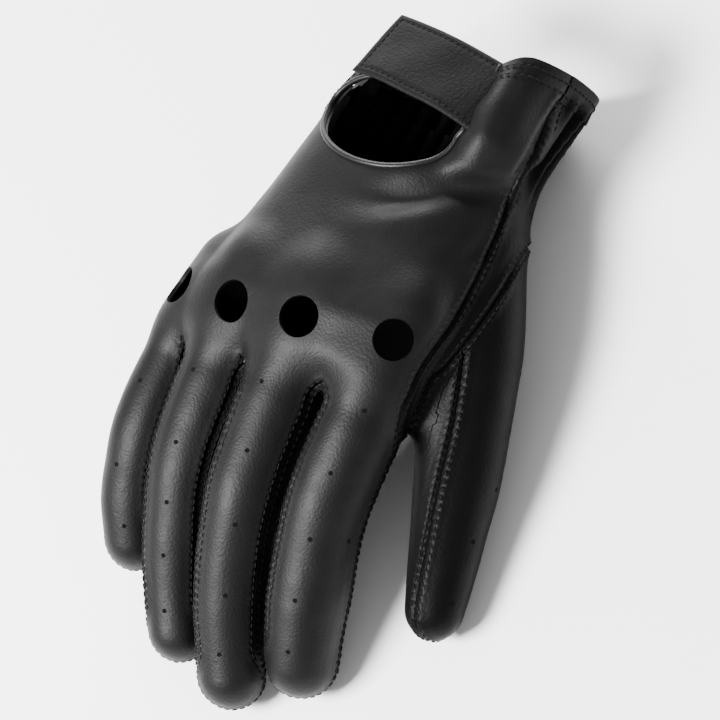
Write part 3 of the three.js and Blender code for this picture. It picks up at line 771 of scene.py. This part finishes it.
def leatherMaterial(name, look):
    material = bpy.data.materials.new(name)
    material.use_nodes = True
    tree = material.node_tree
    shader = tree.nodes["Principled BSDF"]
    place = addNode(tree, "ShaderNodeTexCoord").outputs["Object"]
    grain = addNode(tree, "ShaderNodeGroup", node_tree=grainGroup)
    tree.links.new(place, grain.inputs["Coordinates"])
    grain.inputs["Pebble size"].default_value = look["pebble"]
    grain.inputs["Creases"].default_value = look["creases"]
    sewn = addNode(tree, "ShaderNodeGroup", node_tree=seamGroup)
    for attribute, socket in (("seam", "Distance"), ("run", "Along")):
        stored = addNode(tree, "ShaderNodeAttribute", attribute_name=attribute)
        tree.links.new(stored.outputs["Fac"], sewn.inputs[socket])
    sewn.inputs["Stitch length"].default_value = relief["stitch"]
    tone = addNode(tree, "ShaderNodeMix", {"Factor": grain.outputs["Mottle"]}, data_type="RGBA")
    tone.inputs["A"].default_value = (look["dark"], look["dark"], look["dark"] * 1.06, 1)
    tone.inputs["B"].default_value = (look["light"], look["light"], look["light"] * 1.04, 1)
    shaded = addNode(tree, "ShaderNodeMix", data_type="RGBA")
    tree.links.new(mathNode(tree, "MULTIPLY", sewn.outputs["Shadow"], 0.85), shaded.inputs["Factor"])
    tree.links.new(tone.outputs["Result"], shaded.inputs["A"])
    shaded.inputs["B"].default_value = (0.002, 0.002, 0.002, 1)
    tree.links.new(shaded.outputs["Result"], shader.inputs["Base Color"])
    spread = mathNode(tree, "SUBTRACT", grain.outputs["Shine"], 0.5)
    spread = mathNode(tree, "MULTIPLY", spread, look["roughSpread"] * 2)
    tree.links.new(mathNode(tree, "ADD", spread, look["rough"]), shader.inputs["Roughness"])
    shader.inputs["Specular IOR Level"].default_value = look["gloss"]
    fine = addNode(tree, "ShaderNodeBump",
                   {"Height": grain.outputs["Height"], "Distance": look["grain"], "Strength": 1.0})
    seam = addNode(tree, "ShaderNodeBump", {"Height": sewn.outputs["Height"], "Distance": 0.0003,
                                            "Strength": 0.8, "Normal": fine.outputs["Normal"]})
    tree.links.new(seam.outputs["Normal"], shader.inputs["Normal"])
    return material


# woven or matted cloth: fine crossed ribs with fuzz
def clothMaterial(name, colour, rough, ribs, direction="X", depth=0.0002):
    material = bpy.data.materials.new(name)
    material.use_nodes = True
    tree = material.node_tree
    shader = tree.nodes["Principled BSDF"]
    place = addNode(tree, "ShaderNodeTexCoord").outputs["Object"]
    rows = addNode(tree, "ShaderNodeTexWave",
                   {"Vector": place, "Scale": ribs, "Distortion": 1.2, "Detail": 2.0},
                   bands_direction=direction)
    fuzz = noiseNode(tree, place, 2200.0, 3.0)
    height = mathNode(tree, "ADD", rows.outputs["Fac"], fuzz.outputs["Fac"])
    tone = addNode(tree, "ShaderNodeMix", {"Factor": fuzz.outputs["Fac"]}, data_type="RGBA")
    tone.inputs["A"].default_value = (colour * 0.6, colour * 0.6, colour * 0.63, 1)
    tone.inputs["B"].default_value = (colour * 1.4, colour * 1.4, colour * 1.45, 1)
    tree.links.new(tone.outputs["Result"], shader.inputs["Base Color"])
    tree.links.new(mathNode(tree, "ADD", mathNode(tree, "MULTIPLY", fuzz.outputs["Fac"], 0.1), rough - 0.05),
                   shader.inputs["Roughness"])
    shader.inputs["Specular IOR Level"].default_value = 0.06
    bump = addNode(tree, "ShaderNodeBump", {"Height": height, "Distance": depth, "Strength": 0.8})
    tree.links.new(bump.outputs["Normal"], shader.inputs["Normal"])
    return material


finish = {name: leatherMaterial(name, look) for name, look in leatherLooks.items()}
finish["lining"] = clothMaterial("lining", 0.0009, 0.92, 1200, "X", 0.0001)
finish["elastic"] = clothMaterial("elastic", 0.0012, 0.85, 700, "Y", 0.0003)
finish["hookAndLoop"] = clothMaterial("hookAndLoop", 0.014, 0.95, 900, "DIAGONAL", 0.0005)
finish["thread"] = clothMaterial("thread", 0.007, 0.5, 2500, "DIAGONAL", 0.00006)
# the vent discs' cloth is painted shade: near-black and matte, in place of the shade inside each hole
finish["ventHoleShade"] = clothMaterial("ventHoleShade", 0.002, 0.95, 900, "X", 0.0001)
print("finishes made")


field, corner = gloveField(leather["cell"])
verts, faces = surfaceNets(field, corner, leather["cell"])
verts = relax(verts, faces, 3).astype(float)
del field
normals = vertexNormals(verts, faces)
where = describe(verts)
seams = traceSeams(verts, normals, faces, where)
seam, run = seamDistance(verts, seams, where)
print("seams traced:", {name: len(found) for name, found in seams.items()})

lifted = bulge(verts)
verts = verts + unit(normals + np.array([0, 0, 0.6])) * lifted[:, None]
normals = vertexNormals(verts, faces)
verts = leatherRelief(verts, normals, where, seam, run)
sunk = np.minimum(verts[:, 2] - floorSide["height"], 0)
verts[:, 2] -= sunk * (1 - floorSide["squash"])
verts = relax(verts, faces, 1, 0.3)
normals = vertexNormals(verts, faces)

verts, faces, _ = cutOpening(verts, normals, faces, lambda p: -beyondCuff(p))
verts, faces, keyholeEdge = cutOpening(verts, normals, faces, insideKeyhole)
for name in fingerNames:
    verts, faces, _ = cutOpening(verts, normals, faces, lambda p: insideKnuckleHole(p, stalls[name]))
surface = {"verts": verts, "faces": faces, "normals": normals, "seam": seam, "run": run}
leatherTree = BVHTree.FromPolygons([Vector(v) for v in verts.tolist()], faces.tolist())
print("leather surface:", len(faces), "faces")


def faceMean(values):
    return values[faces].mean(1)


def camel(node):
    first, *rest = node.split("_")
    return first + "".join(word.capitalize() for word in rest)


owner = where["owner"][faces[:, 0]]
faceY = faceMean(verts[:, 1])
onBack = faceMean(where["backEdge"]) < 0
onPalm = (faceMean(where["palmEdge"]) >= 0) & ~onBack
between = ~onBack & ~onPalm
onThumb = faceMean(where["thumbRound"]) < 0
inHem = (faceMean(beyondCuff(verts)) > -cuff["hemDepth"]) & (~onBack | (faceMean(verts[:, 0]) > 60))
radialSide = np.zeros(len(faces), bool)
for i, name in enumerate(fingerNames):
    line = lines[name]
    centreX = np.interp(-faceY, -line["centre"][:, 1], line["centre"][:, 0])
    radialSide |= (owner == i) & (faceMean(verts[:, 0]) > centreX)

# where each stall's base gives way to its tip, and where the leather bends with its joints
bends = {
    "index": {"root": (-16.8, -32.2), "middle": (-33.8, -50.4)},
    "middle": {"root": (-16.8, -32.2), "middle": (-41.2, -57.8)},
    "ring": {"root": (-16.8, -32.2), "middle": (-38.7, -55.3)},
    "little": {"root": (-16.8, -32.2), "middle": (-35.3, -51.9)},
    "thumb": {"root": (-4.2, -16), "middle": (-18, -38.6)},
}
crotchY = handShape["crotchY"]
pieces = {}


def bodyOf(stall, y):
    rootEnd = thumbShape["rootEnd"] if stall == "thumb" else crotchY
    if y > rootEnd:
        return "hand"
    return stall + ("_base" if y > bends[stall]["middle"][0] + 0.7 else "_tip")


def joinTo(piece, body):
    if body.endswith("_base") or body.endswith("_tip"):
        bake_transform(piece)
    else:
        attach(piece, body)


def addPanel(node, chosen, look, body, outside=0.0, inside=-leather["thickness"]):
    if chosen.sum() < 20:
        print("nothing left for", node)
        return
    piece = panel(camel(node), surface, chosen, outside, inside, finish[look], finish["lining"])
    joinTo(piece, body)
    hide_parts(node)
    pieces[node] = piece


handFaces = (faceY > crotchY) & ~(onThumb & (owner == 4) & (faceY < thumbShape["rootEnd"]))
inHand = handFaces & ~onThumb
addPanel("back_panel", inHand & onBack, "backLeather", "hand")
addPanel("palm_panel", inHand & onPalm & ~inHem, "palmLeather", "hand")
addPanel("cuff_hem", inHand & ~onBack & inHem, "palmLeather", "hand", 0.35, -1.9)
addPanel("thumb_root", handFaces & onThumb, "palmLeather", "hand")
for i, (near, far) in enumerate(zip(fingerNames[:-1], fingerNames[1:])):
    mine = ((owner == i) & ~radialSide) | ((owner == i + 1) & radialSide)
    addPanel(f"web_{near}_{far}", inHand & between & mine, "sideLeather", "hand")
for i, name in enumerate(fingerNames):
    split = bends[name]["middle"][0] + 0.7
    for part, zone in (("base", (faceY <= crotchY) & (faceY > split)), ("tip", faceY <= split)):
        mine = (owner == i) & zone & ~onThumb
        body = f"{name}_{part}"
        addPanel(body + "_back", mine & onBack, "backLeather", body)
        addPanel(body + "_palm", mine & onPalm, "palmLeather", body)
        for side, here in (("ulnar", ~radialSide), ("radial", radialSide)):
            if stalls[name]["fourchettes"][side]:
                strip = mine & between & here
                addPanel(f"{body}_fourchette_{side}", strip, "sideLeather", body)
split = bends["thumb"]["middle"][0] + 0.7
outerThumb = faceMean(where["thumbSeam"]) < 0
for part, zone in (("base", (faceY <= thumbShape["rootEnd"]) & (faceY > split)), ("tip", faceY <= split)):
    mine = (owner == 4) & onThumb & zone
    addPanel(f"thumb_{part}_back", mine & outerThumb, "palmLeather", f"thumb_{part}")
    addPanel(f"thumb_{part}_palm", mine & ~outerThumb, "palmLeather", f"thumb_{part}")
print("panels cut:", len(pieces))


# a rounded welt that follows an edge: rings of a few sides along an even line
def tube(name, line, closed, radii, material, sides=10):
    points, outward, _ = line
    along = np.roll(points, -1, 0) - np.roll(points, 1, 0)
    if not closed:
        along[0], along[-1] = points[1] - points[0], points[-1] - points[-2]
    along = unit(along)
    across = unit(np.cross(along, outward))
    upward = np.cross(across, along)
    angles = np.arange(sides) * 2 * math.pi / sides
    rings = (points[:, None, :] + across[:, None, :] * (np.cos(angles) * radii[0])[None, :, None]
             + upward[:, None, :] * (np.sin(angles) * radii[1])[None, :, None])
    count = len(points)
    i = np.arange(count if closed else count - 1)[:, None]
    j = np.arange(sides)[None, :]
    nextSide = (j + 1) % sides
    here, ahead = i * sides, (i + 1) % count * sides
    quads = np.stack([here + j, here + nextSide, ahead + nextSide, ahead + j], -1)
    lists = [quads.reshape(-1, 4)]
    if not closed:
        lists.append(np.arange(sides)[None, ::-1])
        lists.append((np.arange(sides) + (count - 1) * sides)[None, :])
    piece = makeObject(name, rings.reshape(-1, 3), lists, [material])
    fixNormals(piece)
    return piece


def fixNormals(piece):
    shape = bmesh.new()
    shape.from_mesh(piece.data)
    bmesh.ops.recalc_face_normals(shape, faces=shape.faces)
    shape.to_mesh(piece.data)
    shape.free()


def edgeLine(chosen, step=0.8):
    rim = rimEdges(faces, len(verts))
    rim = rim[chosen[rim].all(1)]
    follow = dict(rim.tolist())
    arrivals = set(follow.values())
    best = []
    for start in [a for a in follow if a not in arrivals] or list(follow)[:1]:
        chain = [start]
        while chain[-1] in follow and follow[chain[-1]] != start:
            chain.append(follow[chain[-1]])
        if len(chain) > len(best):
            best = chain
    closed = best[-1] in follow
    return evenLine(verts[best].copy(), normals[best], closed, step, rounds=4), closed


# stitches are set out along lines by Geometry Nodes, as little pulled-in bars of thread
def stitchTree():
    tree, given, result = nodeGroup(
        "stitchRow",
        [("Line", "NodeSocketGeometry", None), ("Spacing", "NodeSocketFloat", 0.0022),
         ("Length", "NodeSocketFloat", 0.0016), ("Thickness", "NodeSocketFloat", 0.0005),
         ("Thread", "NodeSocketMaterial", None)],
        [("Stitches", "NodeSocketGeometry")], "GeometryNodeTree")
    curve = addNode(tree, "GeometryNodeMeshToCurve", {"Mesh": given.outputs["Line"]})
    even = addNode(tree, "GeometryNodeResampleCurve",
                   {"Curve": curve.outputs[0], "Length": given.outputs["Spacing"]}, mode="LENGTH")
    tangent = tree.nodes.new("GeometryNodeInputTangent")
    turn = addNode(tree, "FunctionNodeAxesToRotation", {0: outwardOf(tree), 1: tangent.outputs[0]},
                   primary_axis="Z", secondary_axis="X")
    bead = addNode(tree, "GeometryNodeMeshUVSphere", {"Segments": 6, "Rings": 4, "Radius": 0.5})
    thickness = given.outputs["Thickness"]
    size = addNode(tree, "ShaderNodeCombineXYZ",
                   {"X": given.outputs["Length"], "Y": thickness, "Z": thickness})
    placed = addNode(tree, "GeometryNodeInstanceOnPoints",
                     {"Points": even.outputs[0], "Instance": bead.outputs["Mesh"],
                      "Rotation": turn.outputs[0], "Scale": size.outputs[0]})
    real = addNode(tree, "GeometryNodeRealizeInstances", {0: placed.outputs[0]})
    smoothed = addNode(tree, "GeometryNodeSetShadeSmooth", {0: real.outputs[0]})
    paint(tree, smoothed.outputs[0], given.outputs["Thread"], result.inputs["Stitches"])
    return tree


# the direction out of the leather, kept on each point of the line or place
def outwardOf(tree):
    node = addNode(tree, "GeometryNodeInputNamedAttribute", {"Name": "outward"}, data_type="FLOAT_VECTOR")
    return node.outputs["Attribute"]


def paint(tree, shape, material, target):
    coloured = addNode(tree, "GeometryNodeSetMaterial", {0: shape, "Material": material})
    tree.links.new(coloured.outputs[0], target)


# vents are small dark discs set just into the leather, painted shade standing in for the shaded inside of
# each hole
def ventTree():
    tree, given, result = nodeGroup(
        "ventHoles",
        [("Places", "NodeSocketGeometry", None), ("Radius", "NodeSocketFloat", 0.0007),
         ("Inside", "NodeSocketMaterial", None)],
        [("Vents", "NodeSocketGeometry")], "GeometryNodeTree")
    turn = addNode(tree, "FunctionNodeAlignRotationToVector", {"Vector": outwardOf(tree)}, axis="Z")
    plug = addNode(tree, "GeometryNodeMeshCylinder",
                   {"Vertices": 12, "Radius": given.outputs["Radius"], "Depth": 0.0005})
    placed = addNode(tree, "GeometryNodeInstanceOnPoints",
                     {"Points": given.outputs["Places"], "Instance": plug.outputs["Mesh"],
                      "Rotation": turn.outputs[0]})
    real = addNode(tree, "GeometryNodeRealizeInstances", {0: placed.outputs[0]})
    paint(tree, real.outputs[0], given.outputs["Inside"], result.inputs["Vents"])
    return tree


def runTree(name, tree, points, outward, edges, inputs):
    mesh = bpy.data.meshes.new(name + "Line")
    mesh.from_pydata(((points + origin) * mm).tolist(), edges, [])
    stored = mesh.attributes.new("outward", "FLOAT_VECTOR", "POINT")
    stored.data.foreach_set("vector", outward.astype(np.float32).ravel())
    holder = bpy.data.objects.new(name + "Line", mesh)
    bpy.context.scene.collection.objects.link(holder)
    step = holder.modifiers.new("pattern", "NODES")
    step.node_group = tree
    for socket in tree.interface.items_tree:
        if socket.in_out == "INPUT" and socket.name in inputs:
            step[socket.identifier] = inputs[socket.name]
    ready = holder.evaluated_get(bpy.context.evaluated_depsgraph_get())
    made = bpy.data.meshes.new_from_object(ready)
    made.name = name
    piece = bpy.data.objects.new(name, made)
    bpy.context.scene.collection.objects.link(piece)
    bpy.data.objects.remove(holder)
    return piece


stitching = {"aside": 1.35, "spacing": 2.1, "length": 1.75, "thickness": 0.5, "height": 0.06}
strapStitching = {"spacing": 1.9, "length": 1.5, "thickness": 0.42, "height": 0.12}
hemRows = {"fromEdge": (2.6, 5.6), "height": 0.45}
ventPlace = {"height": -0.18, "reach": 9}


# moves points onto the leather, a little above or below it, and drops those out of reach
def snap(points, height, reach=2.2):
    places, outward = [], []
    for point in points.tolist():
        place, facing, _, apart = leatherTree.find_nearest(Vector(point))
        if apart < reach:
            places.append(place)
            outward.append(facing)
    outward = unit(np.array(outward, float))
    return np.array(places, float) + outward * height, outward


# a row beside a seam, moved sideways over the leather and pressed onto it
def besideSeam(line, aside):
    points, outward, _ = line
    along = np.gradient(points, axis=0)
    across = unit(np.cross(unit(along), outward))
    return snap(points + across * aside, stitching["height"])


# cuts rows where the leather passes from one body to the next, and gathers them by body
def sortRows(rows):
    byBody = {}
    for points, outward in rows:
        place = np.array([stallDistance(lines[name], points)[0] for name in stalls])
        who = np.argmin(place, 0)
        thumbRun = (who == 4) & (thumbRoundDistance(points, place[4]) < 0.5)
        names = []
        for i in range(len(points)):
            stall = list(stalls)[who[i]]
            if stall == "thumb" and not thumbRun[i]:
                names.append("hand")
            else:
                names.append(bodyOf(stall, points[i, 1]))
        start = 0
        for i in range(1, len(points) + 1):
            if i == len(points) or names[i] != names[start]:
                if i - start > 4:
                    byBody.setdefault(names[start], []).append((points[start:i], outward[start:i]))
                start = i
    return byBody


def sewRows(label, rows, sizes=stitching):
    points = np.concatenate([row[0] for row in rows])
    outward = np.concatenate([row[1] for row in rows])
    edges = []
    start = 0
    for row in rows:
        edges += [(start + i, start + i + 1) for i in range(len(row[0]) - 1)]
        start += len(row[0])
    return runTree(label, stitchTrees, points, outward, edges, {
        "Spacing": sizes["spacing"] * mm, "Length": sizes["length"] * mm,
        "Thickness": sizes["thickness"] * mm, "Thread": finish["thread"]})


stitchTrees = stitchTree()
rows = []
for kind, found in seams.items():
    for line in found:
        if len(line[0]) < 20:
            continue
        for aside in (-stitching["aside"], stitching["aside"]):
            rows.append(besideSeam(line, aside))
hemLines = []
for distance in hemRows["fromEdge"]:
    fromEdge = beyondCuff(verts) + distance
    for line in traceLines(verts, normals, faces, fromEdge, where["backEdge"] > -60):
        points, outward, _ = evenLine(*line, step=0.8)
        hemLines.append((points + outward * hemRows["height"], outward))
for body, found in sortRows(rows + hemLines).items():
    joinTo(sewRows(camel(body) + "Stitches", found), body)
print("stitches sewn")

vents = ventTree()
for name, stall in stalls.items():
    line = lines[name]
    spots = {"base": [], "tip": [], "hand": []}
    for along, turned in stall["vents"]:
        k = int(np.argmin(np.abs(line["run"] - along)))
        turned = math.radians(turned)
        facing = line["up"][k] * math.cos(turned) + line["across"][k] * math.sin(turned)
        spot = line["centre"][k] + facing * line["radius"][k]
        spots[bodyOf(name, spot[1]).split("_")[-1]].append(spot)
    for part, found in spots.items():
        if not found:
            continue
        points, outward = snap(np.array(found), ventPlace["height"], ventPlace["reach"])
        body = "hand" if part == "hand" else f"{name}_{part}"
        piece = runTree(f"{name}{part.capitalize()}Vents", vents, points, outward, [],
                        {"Radius": leather["vent"] * mm, "Inside": finish["ventHoleShade"]})
        joinTo(piece, body)

# the strap: two layers, rounded at the edge, arched over the wrist
strap = {"length": 37, "tuck": 7, "width": 21.5, "arc": 90, "edge": 1.6, "row": 1.9, "bend": 7}
hinge = np.array(joints["strap_open"]) / mm - origin
strapAxis = next(joint["axis"] for joint in frame["joints"] if joint["name"] == "strap_open")
strapY = unit(np.array(strapAxis, float))
strapX = unit(np.cross(strapY, (0, 0, 1)))
strapZ = np.cross(strapX, strapY)


def onStrap(x, y, height):
    middleX = -strap["length"] / 2
    arch = np.sqrt(strap["arc"] ** 2 - (x - middleX) ** 2) - math.sqrt(strap["arc"] ** 2 - middleX ** 2)
    drop = np.where(x > 0, -0.12 * x, 0)
    wave = 0.25 * np.sin(x * 0.31 + 1) * np.sin(y * 0.22 + 0.6)
    z = arch + drop + wave + height
    return hinge + x[..., None] * strapX + y[..., None] * strapY + z[..., None] * strapZ


def strapSheet(name, x0, x1, halfWidth, top, bottom, material, columns=110, rowsAcross=62):
    u = np.linspace(x0, x1, columns)
    v = np.linspace(-halfWidth, halfWidth, rowsAcross)
    x, y = np.meshgrid(u, v, indexing="ij")
    fromEdge = np.minimum(np.minimum(halfWidth - np.abs(y), x - x0), x1 - x)
    rounded = 1 - (1 - np.clip(fromEdge / strap["edge"], 0, 1)) ** 2
    sewn = 0.28 * np.exp(-((fromEdge - strap["row"]) / 0.55) ** 2)
    upper = onStrap(x, y, bottom + (top - bottom) * (0.42 + 0.58 * rounded) - sewn)
    lower = onStrap(x, y, np.full_like(x, bottom))
    points = np.concatenate([upper.reshape(-1, 3), lower.reshape(-1, 3)])
    i, j = np.meshgrid(np.arange(columns - 1), np.arange(rowsAcross - 1), indexing="ij")
    a = (i * rowsAcross + j).ravel()
    quads = np.stack([a, a + rowsAcross, a + rowsAcross + 1, a + 1], 1)
    count = columns * rowsAcross
    ring = np.concatenate([np.arange(columns) * rowsAcross,
                           (columns - 1) * rowsAcross + np.arange(1, rowsAcross),
                           np.arange(columns - 2, -1, -1) * rowsAcross + rowsAcross - 1,
                           np.arange(rowsAcross - 2, 0, -1)])
    after = np.roll(ring, -1)
    sides = np.stack([ring, after, after + count, ring + count], 1)
    piece = makeObject(name, points, np.concatenate([quads, quads[:, ::-1] + count, sides]), [material])
    fixNormals(piece)
    return piece


def strapJoin(piece):
    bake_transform(piece)


half = strap["width"] / 2
leatherEnd, padEnd = -strap["length"], 3 - strap["length"]
outer = strapSheet("strapOuter", leatherEnd, strap["tuck"], half, 0.3, -0.9, finish["strapLeather"])
inner = strapSheet("strapLining", leatherEnd + 1, strap["tuck"] - 1, half - 0.7, -0.95, -1.9,
                   finish["lining"])
hook = strapSheet("hookPad", padEnd, padEnd + 13, 5, -1.95, -2.9, finish["hookAndLoop"], 40, 30)
for piece, node, slot in ((outer, "strap_outer", "strap_leather"), (inner, "strap_lining", "lining_fabric"),
                          (hook, "hook_pad", "hook_and_loop")):
    strapJoin(piece)
    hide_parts(node)


def strapRow(x, y):
    return onStrap(x, y, np.full(len(x), strapStitching["height"])), np.tile(strapZ, (len(x), 1))


inset = half - strap["row"]
runX = np.arange(strap["row"] - strap["length"], strap["tuck"] - 1, 0.6)
runY = np.arange(-inset, inset, 0.6)
strapRows = [strapRow(runX, np.full(len(runX), side * inset)) for side in (-1, 1)]
strapRows.append(strapRow(np.full(len(runY), strap["row"] - strap["length"]), runY))
strapJoin(sewRows("strapStitches", strapRows, strapStitching))
print("strap made")

# the welt round the keyhole and down the slit
nearKeyhole = np.zeros(len(verts), bool)
nearKeyhole[keyholeEdge] = True
nearKeyhole &= beyondCuff(verts) < -0.2
line, closed = edgeLine(nearKeyhole)
line = (line[0] + line[1] * 0.05, line[1], line[2])
radii = (keyhole["bindingWidth"], keyhole["bindingHeight"])
binding = tube("keyholeBinding", line, closed, radii, finish["bindingLeather"])
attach(binding, "hand")
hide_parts("keyhole_binding")

# the keyhole's facing, turned in under the leather and sewn down
fromKeyhole = np.abs(faceMean(insideKeyhole(verts)) - 2.2)
facingBand = (fromKeyhole < keyhole["facingWidth"] / 2) & inHand
facingBand &= faceMean(verts[:, 1]) < keyhole["y"] + keyhole["facingEnd"]
welt = finish["bindingLeather"]
facing = panel("keyholeFacing", surface, facingBand, -1.15, -1.7, welt, welt)
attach(facing, "hand")

# the elastic inside the wrist and the loop patch under the strap's end
wristY = faceMean(verts[:, 1])
elastic = inHand & (wristY > 56) & (wristY < 66) & (faceMean(where["high"]) < 0)
addPanel("elastic_band", elastic, "elastic", "hand", -1.3, -2.3)
patch = inHand & (np.abs(faceMean(verts[:, 0]) + 7.5) < 7) & (wristY > 69) & (wristY < 74) & onBack
addPanel("loop_pad", patch, "hookAndLoop", "hand", 0.9, 0.15)


stage = {"floorZ": -0.0006, "lens": 250, "sensor": 36, "view": 192, "depth": 24}
lights = {
    "keyLight": {"place": (-0.3, -0.5, 0.8), "aim": (0, -0.03, 0.02), "size": (0.42, 0.36), "power": 52},
    "backLight": {"place": (-0.7, 1.2, 0.45), "aim": (0, 0, 0), "size": (1.2, 0.4), "power": 40},
}
towardsCamera = Vector((0.5, -0.15, 0.853)).normalized()
cameraUp = Vector((-0.281, 0.903, 0.324))
cameraRight = cameraUp.cross(towardsCamera).normalized()
cameraUp = towardsCamera.cross(cameraRight)


def plainMaterial(name, colour, rough):
    material = bpy.data.materials.new(name)
    material.use_nodes = True
    shader = material.node_tree.nodes["Principled BSDF"]
    shader.inputs["Base Color"].default_value = (colour, colour, colour, 1)
    shader.inputs["Roughness"].default_value = rough
    return material


def softLight(name, look):
    lamp = bpy.data.lights.new(name, "AREA")
    lamp.shape = "RECTANGLE"
    lamp.size, lamp.size_y = look["size"]
    lamp.energy = look["power"]
    light = bpy.data.objects.new(name, lamp)
    light.location = middle + Vector(look["place"])
    aim = middle + Vector(look["aim"])
    light.rotation_euler = (aim - light.location).to_track_quat("-Z", "Y").to_euler()
    bpy.context.scene.collection.objects.link(light)


floorMesh = bpy.data.meshes.new("floor")
reach = 6.0
corners = [(x * reach, y * reach, stage["floorZ"]) for x, y in ((-1, -1), (1, -1), (1, 1), (-1, 1))]
floorMesh.from_pydata(corners, [], [(0, 1, 2, 3)])
floor = bpy.data.objects.new("floor", floorMesh)
bpy.context.scene.collection.objects.link(floor)
floorMesh.materials.append(plainMaterial("paleFloor", 0.97, 0.9))

world = bpy.data.worlds.new("studio")
world.use_nodes = True
world.node_tree.nodes["Background"].inputs["Color"].default_value = (1, 1, 1, 1)
world.node_tree.nodes["Background"].inputs["Strength"].default_value = 0.56
bpy.context.scene.world = world
middle = Vector(origin * mm)
for name, look in lights.items():
    softLight(name, look)

lens = bpy.data.cameras.new("mainView")
lens.lens = stage["lens"]
lens.sensor_width = stage["sensor"]
lens.clip_end = 50
camera = bpy.data.objects.new("mainView", lens)
away = stage["view"] * stage["lens"] / stage["sensor"] + stage["depth"]
camera.location = middle + towardsCamera * away * mm
turn = camera.matrix_basis.to_3x3()
turn.col[0], turn.col[1], turn.col[2] = cameraRight, cameraUp, towardsCamera
camera.rotation_euler = turn.to_euler()
bpy.context.scene.collection.objects.link(camera)
bpy.context.scene.camera = camera
